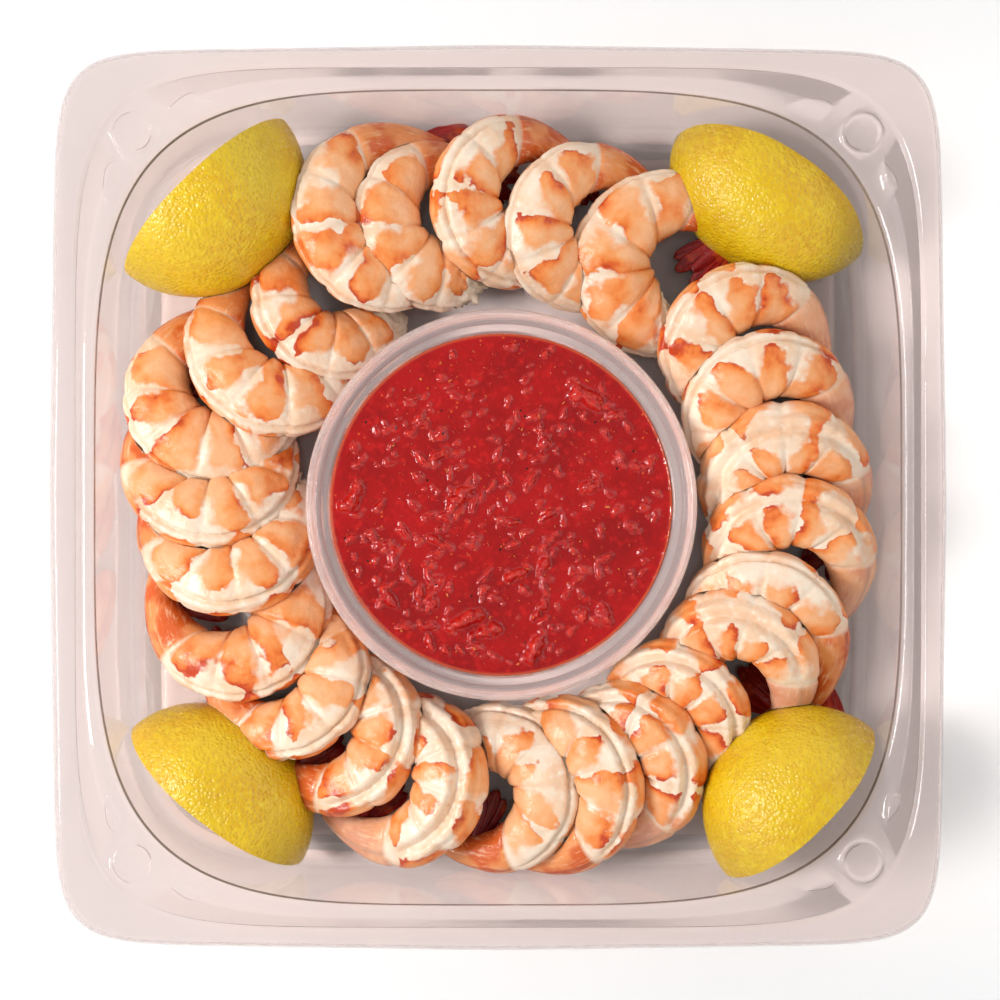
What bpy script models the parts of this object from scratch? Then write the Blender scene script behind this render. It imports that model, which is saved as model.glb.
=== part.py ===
"""Shrimp cocktail platter: a ring of curled shrimp round a cup of sauce, with lemon wedges, in a clear tray.

Metres, +Z up.  The origin is on the tray's resting plane, under its centre.
"""

import math

import bmesh
import bpy
from mathutils import Matrix, Vector

# Driving dimensions of the tray.
TRAY_HALF_X = 0.1372  # flange, centre to edge, under its skin
TRAY_HALF_Y = 0.1385
TRAY_HEIGHT = 0.038
TRAY_WALL = 0.0009
TRAY_SIDES = 32  # points round each ring of the tray
FLANGE_SQUARENESS = 13.0
FLANGE_BOW = 0.011  # the flange's sides bulge: its corners are drawn in by this share
SKIRT_DROP = 0.0026
LEDGE_DROP = 0.0014  # the ledge inside the flange is this much lower
PANEL_RISE = 0.0012  # the middle of the floor stands this much above the resting ring
PLATE_TOP = PANEL_RISE + TRAY_WALL

# The tray's rings inside the flange: half width, half depth, squareness, height of the underside.
LEDGE_HEIGHT = TRAY_HEIGHT - TRAY_WALL - LEDGE_DROP
TRAY_RINGS = (
    (0.1316, 0.1336, 6.4, TRAY_HEIGHT - TRAY_WALL),  # the flange's inner edge
    (0.1303, 0.1324, 6.4, LEDGE_HEIGHT),  # the ledge, wide at the corners
    (0.1258, 0.1272, 4.0, LEDGE_HEIGHT),  # the mouth
    (0.1248, 0.1260, 4.0, LEDGE_HEIGHT - 0.0010),
    (0.1176, 0.1176, 5.5, 0.0052),  # the sloping wall's foot, rounded in three steps
    (0.1160, 0.1160, 6.0, 0.0015),
    (0.1132, 0.1132, 6.0, 0.0),  # the resting ring
    (0.1072, 0.1075, 9.0, 0.0),
    (0.1060, 0.1063, 9.0, PANEL_RISE),  # the raised panel
)

# Driving dimensions of the food.
GAP = 0.0003  # left between pieces that touch
SAUCE_LEVEL = 0.0342
LEMON_LENGTH_STEPS = 11
LEMON_TURN_STEPS = 8
CURL_RADIUS = 0.0265  # curl's centre to the shrimp's back
CURL_SWEEP = 290.0  # degrees, head end to tail tip
HEAD_TURN = 222.0  # where the head end lies, in degrees from the outward direction
SHRIMP_STATIONS = 12
SHRIMP_SIDES = 8

# The cup: radius and height down its outer side, then up its inner side.
CUP_PLACE = (0.0010, -0.0022, 0.0)  # the cup isn't quite in the tray's middle
CUP_TOP = 0.040
CUP_STEPS = 28
CUP_BASE = PLATE_TOP + GAP
CUP_FLOOR = CUP_BASE + 0.0009
CUP_SAUCE_RADIUS = 0.0527  # the inner wall at the sauce's level
CUP_FLOOR_RADIUS = 0.0442
CUP_OUTSIDE = (
    (0.0600, CUP_TOP - 0.0010),
    (0.0600, CUP_TOP - 0.0040),
    (0.0562, CUP_TOP - 0.0048),
    (0.0535, SAUCE_LEVEL - 0.0010),
    (0.0455, CUP_BASE + 0.0012),
    (0.0440, CUP_BASE),
    (0.0, CUP_BASE),
)
CUP_INSIDE = (
    (0.0, CUP_FLOOR),
    (CUP_FLOOR_RADIUS, CUP_FLOOR),
    (CUP_SAUCE_RADIUS, SAUCE_LEVEL),
    (0.0556, CUP_TOP - 0.0018),
    (0.0576, CUP_TOP - 0.0014),
    (0.0583, CUP_TOP),
    (0.0594, CUP_TOP),
)

# How a shrimp swells and thins: place along it, half depth and half width in metres.
SHRIMP_FORM = (
    (0.00, 0.0088, 0.0066),
    (0.06, 0.0108, 0.0080),
    (0.20, 0.0118, 0.0086),
    (0.40, 0.0115, 0.0085),
    (0.58, 0.0106, 0.0080),
    (0.70, 0.0092, 0.0070),
    (0.78, 0.0078, 0.0060),
    (0.84, 0.0064, 0.0050),
    (0.90, 0.0040, 0.0046),
    (1.00, 0.0012, 0.0062),
)

# The ring, clockwise: azimuth, distance out in millimetres, tilt, turn and roll in degrees,
# how far the tail unfurls, and size.
SHRIMP_RING = (
    (161, 94, 17, -35, 10, 0.20, 1.05),
    (147, 83, 30, -3, 10, 0.15, 1.06),
    (131, 80, 28, 0, 10, 0.20, 0.96),
    (114, 93, 28, -15, 0, 0.50, 1.04),
    (104, 87, 31, -8, 5, 0.20, 0.98),
    (88, 92, 29, -10, 5, 0.20, 1.00),
    (73, 88, 27, 0, 5, 0.25, 0.97),
    (55, 89, 14, 0, 5, 0.25, 1.08),
    (32, 90, 27, 0, 15, 0.20, 1.00),
    (18, 88, 29, 0, 15, 0.20, 1.00),
    (3, 89.5, 30, 0, 30, 0.15, 1.03),
    (-11, 92.5, 30, 0, 20, 0.15, 1.02),
    (-26, 91, 29, 18, 20, 0.45, 0.94),
    (-35, 91, 32, 18, 28, 0.05, 0.98),
    (-51, 88, 31, 0, 18, 0.20, 0.93),
    (-64, 92, 30, 0, 22, 0.20, 0.98),
    (-77, 90.5, 30, 4, 15, 0.34, 1.00),
    (-89, 90.5, 24, 0, 18, 0.20, 0.98),
    (-108, 92, 30, 0, 28, 0.20, 1.03),
    (-123, 88, 29, 8, 14, 0.10, 0.98),
    (-139, 86, 27, 0, 10, 0.20, 0.98),
    (-156, 88, 19, 0, 10, 0.20, 1.07),
    (-173, 84, 28, 0, 12, 0.20, 1.06),
    (174, 90, 28, 0, 10, 0.20, 1.03),
)
OVER_LEMON = {8: 2, 20: 3}  # these shrimp's tails lie over these lemons, not the lemons over them

# The lemon wedges: middle of the core, heading of the peel side, length, radius, and the
# angle at which the peel ends over the core.
LEMON_PLACES = (
    (-0.0916, 0.0942, 0.0195, -46.0, 0.0688, 0.0298, 98.0),
    (0.0854, 0.0953, 0.0105, -123.0, 0.0690, 0.0240, 124.0),
    (-0.0888, -0.0940, 0.0100, 51.5, 0.0680, 0.0260, 104.0),
    (0.0942, -0.0951, 0.0200, 135.0, 0.0645, 0.0291, 103.0),
)


def clear_scene():
    for obj in list(bpy.data.objects):
        bpy.data.objects.remove(obj)


def collection(name):
    made = bpy.data.collections.new(name)
    bpy.context.scene.collection.children.link(made)
    return made


def material(name, color, roughness):
    made = bpy.data.materials.new(name)
    made.use_nodes = True
    shader = made.node_tree.nodes["Principled BSDF"]
    shader.inputs["Base Color"].default_value = (*color, 1.0)
    shader.inputs["Roughness"].default_value = roughness
    shader.inputs["Metallic"].default_value = 0.0
    return made


def add_object(name, work, home, finish=None):
    """Turn a bmesh into a named, smooth-shaded object."""
    mesh = bpy.data.meshes.new(name)
    bmesh.ops.recalc_face_normals(work, faces=work.faces)
    if work.calc_volume(signed=True) < 0:
        bmesh.ops.reverse_faces(work, faces=work.faces)
    work.to_mesh(mesh)
    work.free()
    mesh.shade_smooth()
    mesh.set_sharp_from_angle(angle=math.radians(40))
    obj = bpy.data.objects.new(name, mesh)
    home.objects.link(obj)
    if finish:
        mesh.materials.append(finish)
    return obj


def loft(work, rings):
    """Join rings of equal length with quads, and return their vertices."""
    rows = [[work.verts.new(point) for point in ring] for ring in rings]
    for near, far in zip(rows, rows[1:]):
        for k in range(len(near)):
            after = (k + 1) % len(near)
            work.faces.new((near[k], near[after], far[after], far[k]))
    return rows


def rounded_square(half_x, half_y, squareness, height, bow=0.0):
    """A superellipse with bowed sides; its points crowd towards its corners by themselves."""
    ring = []
    for k in range(TRAY_SIDES):
        angle = 2 * math.pi * k / TRAY_SIDES
        across = math.copysign(abs(math.cos(angle)) ** (2 / squareness), math.cos(angle))
        along = math.copysign(abs(math.sin(angle)) ** (2 / squareness), math.sin(angle))
        shrink = 1 - bow * (2 * across * along / (across**2 + along**2)) ** 2
        ring.append(Vector((half_x * across * shrink, half_y * along * shrink, height)))
    return ring


def make_tray(home):
    """Skirt, flat flange, recessed ledge, sloping wall, and a floor with a raised panel."""
    under_flange = TRAY_HEIGHT - TRAY_WALL
    rings = [
        rounded_square(
            TRAY_HALF_X - inward,
            TRAY_HALF_Y - inward,
            FLANGE_SQUARENESS,
            under_flange - drop,
            FLANGE_BOW,
        )
        for inward, drop in ((0.0, SKIRT_DROP), (0.0006, 0.0006), (0.0016, 0.0))
    ]
    rings += [rounded_square(*ring) for ring in TRAY_RINGS]
    work = bmesh.new()
    rows = loft(work, rings)
    work.faces.new(rows[-1])
    tray = add_object("tray", work, home, material("clear_tray", (0.78, 0.70, 0.68), 0.12))
    if tray.data.polygons[-1].normal.z < 0:
        tray.data.flip_normals()
    wall = tray.modifiers.new("wall", "SOLIDIFY")
    wall.thickness = TRAY_WALL
    wall.offset = 1.0
    wall.use_even_offset = True


def turned(name, profile, home, finish=None):
    """Turn a profile about Z; it runs down its outer side."""
    mesh = bpy.data.meshes.new(name)
    points = [(radius, 0.0, height) for radius, height in profile]
    mesh.from_pydata(points, [(k, k + 1) for k in range(len(points) - 1)], [])
    obj = bpy.data.objects.new(name, mesh)
    obj.location = CUP_PLACE
    home.objects.link(obj)
    screw = obj.modifiers.new("turn", "SCREW")
    screw.steps = CUP_STEPS
    screw.render_steps = CUP_STEPS
    screw.use_merge_vertices = True
    screw.merge_threshold = 0.0001
    screw.use_smooth_shade = True
    if finish:
        mesh.materials.append(finish)
    return obj


def make_cup(home):
    """A thin deli cup: sloping wall, lid seat and rolled rim."""
    turned("sauce_cup", CUP_INSIDE + CUP_OUTSIDE, home, material("clear_cup", (0.80, 0.72, 0.71), 0.10))


def make_sauce(home):
    """The cocktail sauce, a thick pour that stands a little higher in its middle."""
    bottom = CUP_FLOOR + GAP
    wall_slope = (CUP_SAUCE_RADIUS - CUP_FLOOR_RADIUS) / (SAUCE_LEVEL - CUP_FLOOR)
    shoulder = CUP_SAUCE_RADIUS - 2 * GAP
    foot = shoulder - wall_slope * (SAUCE_LEVEL - bottom)
    profile = (
        (0.0, SAUCE_LEVEL + 0.0004),
        (0.030, SAUCE_LEVEL + 0.0003),
        (0.048, SAUCE_LEVEL),
        (shoulder, SAUCE_LEVEL - 0.0004),
        (foot, bottom),
        (0.0, bottom),
    )
    turned("sauce", profile, home, material("cocktail_sauce", (0.36, 0.012, 0.014), 0.25))


def lemon_outline(place):
    """A lemon's half depth, as a share of its widest, at a place from -1 to 1 along it."""
    body = max(0.0, 1 - abs(place) ** 2.3) ** 0.62
    nub = 0.16 * max(0.0, 1 - abs(place) ** 14)
    return max(body, nub)


def lemon_wedge(name, place, grow, home, finish=None):
    """Spin half a lemon's outline about its core; the wedge leans on the corner, peel up."""
    x, y, height, heading, length, radius, top = place
    work = bmesh.new()
    outline = []
    for k in range(LEMON_LENGTH_STEPS + 1):
        along = -math.cos(math.pi * k / LEMON_LENGTH_STEPS)
        depth = radius * lemon_outline(along)
        outline.append(Vector((along * (length / 2 + grow), depth + (grow if depth else 0.0), 0.0)))
    face = work.faces.new([work.verts.new(point) for point in outline])
    spare = 2 * grow / radius  # opens the cuts of a grown copy too
    low = math.asin((height - PLATE_TOP - GAP) / radius) + spare
    bmesh.ops.rotate(work, verts=work.verts, matrix=Matrix.Rotation(-low, 3, "X"))
    bmesh.ops.spin(
        work,
        geom=[face, *face.edges, *face.verts],
        cent=(0, 0, 0),
        axis=(1, 0, 0),
        angle=math.radians(top) + low + spare,
        steps=LEMON_TURN_STEPS,
    )
    bmesh.ops.remove_doubles(work, verts=work.verts, dist=0.00001)
    work.transform(Matrix.Translation((x, y, height)) @ Matrix.Rotation(math.radians(heading - 90), 4, "Z"))
    return add_object(name, work, home, finish)


def read_table(table, place):
    """Read a table of (place, value, value) rows, straight from row to row."""
    for low, high in zip(table, table[1:]):
        if place <= high[0]:
            share = (place - low[0]) / (high[0] - low[0])
            return [a + (b - a) * share for a, b in zip(low[1:], high[1:])]
    return table[-1][1:]


def shrimp_rings(roll, flare, grow=0.0):
    """Sections from the head end to the tail tip, in the plane of the curl."""
    side = Vector((0, 0, 1))
    rings = []
    for k in range(SHRIMP_STATIONS):
        place = k / (SHRIMP_STATIONS - 1)
        depth, width = read_table(SHRIMP_FORM, place)
        turn = math.radians(HEAD_TURN - CURL_SWEEP * place)
        outward = Vector((math.cos(turn), math.sin(turn), 0.0))
        onward = outward.cross(side)
        middle = outward * (CURL_RADIUS * (1 + flare * place**4) - depth)
        if place in (0.0, 1.0):
            middle += onward * grow * (2 * place - 1)
        twist = Matrix.Rotation(-math.radians(roll), 3, onward)
        ring = []
        for j in range(SHRIMP_SIDES):
            angle = 2 * math.pi * j / SHRIMP_SIDES
            across = outward * (depth + grow) * math.cos(angle)
            up = side * (width + grow) * math.sin(angle)
            ring.append(middle + twist @ (across + up))
        rings.append(ring)
    return rings


def shrimp_stand(place):
    """Where a shrimp lies: leaning on the one before it, its lowest point just above the floor."""
    azimuth, distance, tilt, turn, roll, flare, size = place
    spin = Matrix.Rotation(math.radians(turn), 4, "Z")
    lean = Matrix.Rotation(math.radians(tilt), 4, "X")
    face_out = Matrix.Rotation(math.radians(azimuth), 4, "Z")
    reach = Matrix.Translation((distance / 1000, 0, 0))
    stand = face_out @ reach @ lean @ spin @ Matrix.Scale(size, 4)
    lowest = min((stand @ point).z for ring in shrimp_rings(roll, flare) for point in ring)
    return Matrix.Translation((0, 0, PLATE_TOP + GAP - lowest)) @ stand


def shrimp(name, place, grow, home, finish=None):
    """One curled shrimp, from its cut head end to the tip of its tail fan; a grown copy makes room."""
    roll, flare = place[4:6]
    work = bmesh.new()
    rows = loft(work, shrimp_rings(roll, flare, grow))
    work.faces.new(rows[0])
    work.faces.new(rows[-1])
    bmesh.ops.triangulate(work, faces=work.faces, quad_method="FIXED")  # alike in the grown copy
    work.transform(shrimp_stand(place))
    return add_object(name, work, home, finish)


def cut(obj, cutters):
    for cutter in cutters:
        cutter.hide_render = True
        cutter.display_type = "WIRE"
        clearance = obj.modifiers.new(f"clear_{cutter.name}", "BOOLEAN")
        clearance.operation = "DIFFERENCE"
        clearance.solver = "EXACT"
        clearance.object = cutter


def make_lemons(home, cutters):
    """Four wedges, one in each corner, and a slightly larger copy of each to clear the shrimp."""
    finish = material("lemon_peel", (0.71, 0.43, 0.02), 0.42)
    wedges = []
    rooms = []
    for k, place in enumerate(LEMON_PLACES, start=1):
        wedges.append(lemon_wedge(f"lemon_wedge_{k}", place, 0.0, home, finish))
        rooms.append(lemon_wedge(f"room_lemon_{k}", place, GAP, cutters))
    return wedges, rooms


def make_shrimp(home, cutters, cup_room, wedges, lemon_rooms):
    """Each shrimp gives way where the next two, the cup or a lemon lie over it."""
    finish = material("cooked_shrimp", (0.86, 0.47, 0.26), 0.38)
    count = len(SHRIMP_RING)
    covers = [
        shrimp(f"room_shrimp_{k:02d}", place, GAP, cutters) for k, place in enumerate(SHRIMP_RING, start=1)
    ]
    for k, place in enumerate(SHRIMP_RING, start=1):
        body = shrimp(f"shrimp_{k:02d}", place, 0.0, home, finish)
        lower_lemon = OVER_LEMON.get(k)
        if lower_lemon:
            cut(wedges[lower_lemon - 1], [covers[k - 1]])
        lemons = [room for n, room in enumerate(lemon_rooms, start=1) if n != lower_lemon]
        cut(body, [covers[k % count], covers[(k + 1) % count], cup_room, *lemons])


def main():
    clear_scene()
    home = collection("shrimp_platter")
    cutters = collection("cutters")
    make_tray(home)
    make_cup(home)
    make_sauce(home)
    wedges, lemon_rooms = make_lemons(home, cutters)
    outside = tuple((radius + GAP if radius else 0.0, height) for radius, height in CUP_OUTSIDE)
    top = ((0.0, CUP_TOP + GAP), (0.0594, CUP_TOP + GAP))
    cup_room = turned("room_cup", top + outside, cutters)
    make_shrimp(home, cutters, cup_room, wedges, lemon_rooms)


main()
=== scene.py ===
"""Shrimp ring platter: curled shrimp round a cup of cocktail sauce, lemon wedges, a clear tray."""

import math
import random

import bmesh
import bpy
import numpy as np
from mathutils import Matrix, Vector, noise


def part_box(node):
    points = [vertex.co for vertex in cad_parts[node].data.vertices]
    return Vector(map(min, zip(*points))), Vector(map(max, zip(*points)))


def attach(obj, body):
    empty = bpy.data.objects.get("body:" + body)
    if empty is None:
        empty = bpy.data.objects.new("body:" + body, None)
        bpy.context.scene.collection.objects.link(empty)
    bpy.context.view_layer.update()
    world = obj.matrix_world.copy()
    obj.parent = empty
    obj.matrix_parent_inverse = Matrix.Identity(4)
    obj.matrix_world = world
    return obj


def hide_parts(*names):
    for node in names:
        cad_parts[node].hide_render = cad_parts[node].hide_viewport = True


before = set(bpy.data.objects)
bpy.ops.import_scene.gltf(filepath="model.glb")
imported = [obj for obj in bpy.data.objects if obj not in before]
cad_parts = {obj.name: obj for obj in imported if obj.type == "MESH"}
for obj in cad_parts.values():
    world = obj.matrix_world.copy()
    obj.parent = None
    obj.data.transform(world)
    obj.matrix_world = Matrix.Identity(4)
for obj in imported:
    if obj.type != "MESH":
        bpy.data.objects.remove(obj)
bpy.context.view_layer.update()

MM = 0.001

# Measures taken from the frame.
_, tray_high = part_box("tray")
cup_low, cup_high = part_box("sauce_cup")
_, sauce_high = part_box("sauce")
TRAY_HEIGHT = tray_high.z
CUP_CENTRE = (cup_low + cup_high) / 2
CUP_RADIUS = (cup_high.x - cup_low.x) / 2
CUP_TOP = cup_high.z
SAUCE_LEVEL = sauce_high.z - 0.4 * MM

# The inside of the cup: its floor, and its radius there and at the level of the sauce.
CUP_FLOOR = cup_low.z + 0.9 * MM
CUP_FOOT = 0.0444
CUP_BELLY = 0.0525

# The tray, as the solid has it.
TRAY_WALL = 0.9 * MM
TRAY_HALF_X = tray_high.x - TRAY_WALL
TRAY_HALF_Y = tray_high.y - TRAY_WALL
UNDER_FLANGE = TRAY_HEIGHT - TRAY_WALL
UNDER_LEDGE = UNDER_FLANGE - 1.4 * MM
PANEL_RISE = 1.2 * MM
PLATE_TOP = PANEL_RISE + TRAY_WALL
GAP = 0.3 * MM

# Shrimp: the curl's outer radius, how many degrees it runs through, and where it starts.
CURL_RADIUS = 26.5 * MM
CURL_SWEEP = 290.0
HEAD_TURN = 222.0
# Its section: place from head to tail, half its depth and half its width.
SHRIMP_FORM = (
    (0.00, 0.0088, 0.0066),
    (0.06, 0.0108, 0.0080),
    (0.20, 0.0118, 0.0086),
    (0.40, 0.0115, 0.0085),
    (0.58, 0.0106, 0.0080),
    (0.70, 0.0092, 0.0070),
    (0.78, 0.0078, 0.0060),
    (0.84, 0.0064, 0.0050),
    (0.90, 0.0040, 0.0046),
    (1.00, 0.0012, 0.0062),
)
# The ring, clockwise: azimuth, distance out in millimetres, tilt, turn and roll in degrees,
# how far the tail unfurls, and size; then how far the opened back shows, and how much is orange.
SHRIMP_RING = (
    (161, 94, 17, -35, 10, 0.20, 1.05, 19, 0.90),
    (147, 83, 30, -3, 10, 0.15, 1.06, 17, 0.75),
    (131, 80, 28, 0, 10, 0.20, 0.96, 25, 0.80),
    (114, 93, 28, -15, 0, 0.50, 1.04, 10, 0.90),
    (104, 87, 31, -8, 5, 0.20, 0.98, 10, 0.80),
    (88, 92, 29, -10, 5, 0.20, 1.00, 32, 0.85),
    (73, 88, 27, 0, 5, 0.25, 0.97, 12, 0.75),
    (55, 89, 14, 0, 5, 0.25, 1.08, 14, 0.85),
    (32, 90, 27, 0, 15, 0.20, 1.00, 22, 0.75),
    (18, 88, 29, 0, 15, 0.20, 1.00, 19, 0.75),
    (3, 89.5, 30, 0, 30, 0.15, 1.03, 48, 0.75),
    (-11, 92.5, 30, 0, 20, 0.15, 1.02, 42, 0.85),
    (-26, 91, 29, 18, 20, 0.45, 0.94, 19, 0.80),
    (-35, 91, 32, 18, 28, 0.05, 0.98, 50, 0.80),
    (-51, 88, 31, 0, 18, 0.20, 0.93, 42, 0.95),
    (-64, 92, 30, 0, 22, 0.20, 0.98, 42, 0.85),
    (-77, 90.5, 30, 4, 15, 0.34, 1.00, 34, 0.90),
    (-89, 90.5, 24, 0, 18, 0.20, 0.98, 28, 0.50),
    (-108, 92, 30, 0, 28, 0.20, 1.03, 50, 0.75),
    (-123, 88, 29, 8, 14, 0.10, 0.98, 42, 0.85),
    (-139, 86, 27, 0, 10, 0.20, 0.98, 25, 0.80),
    (-156, 88, 19, 0, 10, 0.20, 1.07, 19, 0.85),
    (-173, 84, 28, 0, 12, 0.20, 1.06, 25, 0.80),
    (174, 90, 28, 0, 10, 0.20, 1.03, 25, 0.75),
)
OVER_LEMON = {8: 2, 20: 3}  # shrimp that lie over a lemon wedge, and over which
FRAYED = {5: 2.2, 18: 1.4, 20: 2.2, 22: 2.0, 23: 1.6}  # how torn the head end is
# How far the tail fan is turned, in degrees: out of the curl above 0, and into it below.
FAN_USUALLY = 8.0
FAN_TURN = {1: -72.0, 2: 30.0, 4: 24.0, 8: -72.0, 13: 42.0}
FAN_TURN |= dict.fromkeys((14, 18, 19, 20, 22), -76.0)
PALE_SHELLS = (9, 10, 11, 12, 14, 15, 16, 19)  # shrimp with hardly any orange in the tail shell
JOINTS = (0.02, 0.165, 0.31, 0.45, 0.59, 0.735)  # between the peeled segments; then comes the shell
FAN_ROOT = 0.875
BODY_END = 0.93
STROKES_APART = 57.3  # so that no two shrimp have the same strokes of colour
LENGTH_STEPS = 150
ROUND_STEPS = 80

# Lemon wedges, as in the solids: the middle of the core (x, y, z), heading in degrees, length,
# radius, and the angle at which the upper cut lies.
LEMON_PLACES = (
    (-0.0916, 0.0942, 0.0195, -46.0, 0.0688, 0.0298, 98.0),
    (0.0854, 0.0953, 0.0105, -123.0, 0.0690, 0.0240, 124.0),
    (-0.0888, -0.0940, 0.0100, 51.5, 0.0680, 0.0260, 104.0),
    (0.0942, -0.0951, 0.0200, 135.0, 0.0645, 0.0291, 103.0),
)
# For each wedge, its marked ends: which end, how green, how dark a stem scar.
LEMON_MARKS = (
    ((1, 0.35, 0.0), (-1, 0.1, 0.0)),
    ((1, 0.2, 1.0), (-1, 0.8, 0.0)),
    ((1, 0.35, 0.0), (-1, 0.35, 0.0)),
    ((1, 0.1, 0.0), (-1, 0.1, 0.0)),
)


# ---------------------------------------------------------------- mesh helpers


def new_mesh(name, points, faces=()):
    mesh = bpy.data.meshes.new(name)
    mesh.from_pydata(points, [], faces)
    return mesh


def skin(name, rows, closed=True):
    """Skin rows of points, given as an array of rows by points by 3, and cap both ends."""
    count, around = rows.shape[:2]
    points = rows.reshape(-1, 3)
    row, col = np.meshgrid(np.arange(count - 1), np.arange(around), indexing="ij")
    after = (col + 1) % around
    base = row * around
    faces = np.stack([base + col, base + after, base + around + after, base + around + col], axis=-1)
    faces = [tuple(face) for face in faces.reshape(-1, 4).tolist()]
    points = points.tolist()
    if closed:
        for ring, flip in ((0, True), (count - 1, False)):
            middle = len(points)
            points.append(rows[ring].mean(axis=0).tolist())
            for k in range(around):
                pair = (ring * around + k, ring * around + (k + 1) % around)
                faces.append((pair[1], pair[0], middle) if flip else (pair[0], pair[1], middle))
    return new_mesh(name, points, faces)


def volume_of(mesh):
    """A closed mesh's volume, below 0 where its faces point inward."""
    mesh.calc_loop_triangles()
    corners = np.empty(len(mesh.loop_triangles) * 3, dtype=np.int32)
    mesh.loop_triangles.foreach_get("vertices", corners)
    places = np.empty(len(mesh.vertices) * 3)
    mesh.vertices.foreach_get("co", places)
    a, b, c = places.reshape(-1, 3)[corners.reshape(-1, 3)].transpose(1, 0, 2)
    return float(np.einsum("ij,ij->i", a, np.cross(b, c)).sum() / 6)


def outward(mesh):
    """Turn a closed mesh the right way out and shade it smooth."""
    if volume_of(mesh) < 0:
        mesh.flip_normals()
    mesh.shade_smooth()
    return mesh


def field(mesh, name, values):
    """Store one number for each point; points past the list get 0."""
    full = np.zeros(len(mesh.vertices), dtype=np.float32)
    full[: len(values)] = values
    mesh.attributes.new(name, "FLOAT", "POINT").data.foreach_set("value", full)


def put_in(data, name="work"):
    """Put a mesh, lamp or camera into the scene as an object."""
    obj = bpy.data.objects.new(name, data)
    bpy.context.scene.collection.objects.link(obj)
    return obj


def plain_copy(obj):
    """The mesh of an object with its modifiers applied; the object itself goes."""
    graph = bpy.context.evaluated_depsgraph_get()
    result = bpy.data.meshes.new_from_object(obj.evaluated_get(graph))
    bpy.data.objects.remove(obj)
    return result


def worked(mesh, modifiers):
    """Run modifiers, given as (kind, settings), on a mesh and return the plain result."""
    obj = put_in(mesh)
    for kind, settings in modifiers:
        modifier = obj.modifiers.new(kind.lower(), kind)
        for key, value in settings.items():
            setattr(modifier, key, value)
    return plain_copy(obj)


def run_tree(tree, mesh, settings):
    """Run a Geometry Nodes tree on a mesh with its named inputs set, and return the plain mesh."""
    obj = put_in(mesh)
    modifier = obj.modifiers.new("tree", "NODES")
    modifier.node_group = tree
    for socket in tree.interface.items_tree:
        if socket.in_out == "INPUT" and socket.name in settings:
            modifier[socket.identifier] = settings[socket.name]
    return plain_copy(obj)


def join_shapes(mesh, tools, operation):
    """Cut tools off a closed mesh, or join them to it, and return the plain result."""
    holders = [put_in(tool, f"tool_{k}") for k, tool in enumerate(tools)]
    settings = {"operation": operation, "solver": "MANIFOLD"}
    made = worked(mesh, [("BOOLEAN", {**settings, "object": holder}) for holder in holders])
    for holder in holders:
        bpy.data.objects.remove(holder)
    return made


def place_piece(name, mesh, finish, slot, *nodes):
    """A finished piece: it rides on the one body and stands for its solid."""
    mesh.materials.clear()
    mesh.materials.append(finish)
    obj = put_in(mesh, name)
    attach(obj, "root")
    if nodes:
        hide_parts(*nodes)


def soften(rows, reach):
    """Round the corners of a run of control rows by cutting them with short curves."""
    rows = [np.array(row, dtype=float) for row in rows]
    made = [rows[0]]
    for before, here, after in zip(rows, rows[1:], rows[2:]):
        back = before - here
        onward = after - here
        near = min(0.45, reach / max(np.abs(back).max(), 1e-6))
        far = min(0.45, reach / max(np.abs(onward).max(), 1e-6))
        start = here + back * near
        end = here + onward * far
        for share in (0.0, 0.25, 0.5, 0.75, 1.0):
            made.append(start * (1 - share) ** 2 + here * 2 * share * (1 - share) + end * share**2)
    made.append(rows[-1])
    return made


# ---------------------------------------------------------------- node helpers


def add_node(tree, kind, settings=None, *values, **inputs):
    """Add a node: settings are its properties, values fill its first inputs, and the rest go by name.

    A value is a constant or another node's socket.
    """
    made = tree.nodes.new(kind)
    for key, value in (settings or {}).items():
        setattr(made, key, value)
    for socket, value in zip(made.inputs, values):
        plug(tree, socket, value)
    for key, value in inputs.items():
        plug(tree, made.inputs[key.replace("_", " ")], value)
    return made


def plug(tree, socket, value):
    """Give a socket a constant, or link another node's socket to it."""
    if isinstance(value, bpy.types.NodeSocket):
        tree.links.new(value, socket)
    else:
        socket.default_value = value


def colour(r, g, b):
    """A colour mixed in 0 to 255 steps, made linear."""
    made = []
    for part in (r, g, b):
        part = part / 255
        made.append(part / 12.92 if part <= 0.04045 else ((part + 0.055) / 1.055) ** 2.4)
    return (*made, 1.0)


def new_finish(name):
    made = bpy.data.materials.new(name)
    made.use_nodes = True
    tree = made.node_tree
    return made, tree, tree.nodes["Principled BSDF"]


def blend(tree, share, low, high):
    made = add_node(tree, "ShaderNodeMix", {"data_type": "RGBA"})
    for socket, value in zip((made.inputs[0], made.inputs[6], made.inputs[7]), (share, low, high)):
        plug(tree, socket, value)
    return made.outputs[2]


def coats(tree, base, *layers):
    """Lay colours over a base in turn, each (share, colour)."""
    for share, tint in layers:
        base = blend(tree, share, base, tint)
    return base


def sums(tree, operation, *values):
    return add_node(tree, "ShaderNodeMath", {"operation": operation}, *values).outputs[0]


def times(tree, first, second):
    return sums(tree, "MULTIPLY", first, second)


def step(tree, value, low, high):
    """0 below low, 1 above high, smooth between."""
    smooth = {"interpolation_type": "SMOOTHSTEP"}
    return add_node(tree, "ShaderNodeMapRange", smooth, value, low, high).outputs[0]


def ramp(tree, value, stops):
    """Colours at their places along a run from 0 to 1."""
    made = add_node(tree, "ShaderNodeValToRGB", Fac=value)
    slots = made.color_ramp.elements
    for _ in stops[2:]:
        slots.new(0.5)
    for slot, (place, _) in zip(slots, stops):
        slot.position = place
    for slot, (_, tint) in zip(slots, stops):
        slot.color = tint
    return made.outputs[0]


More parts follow.
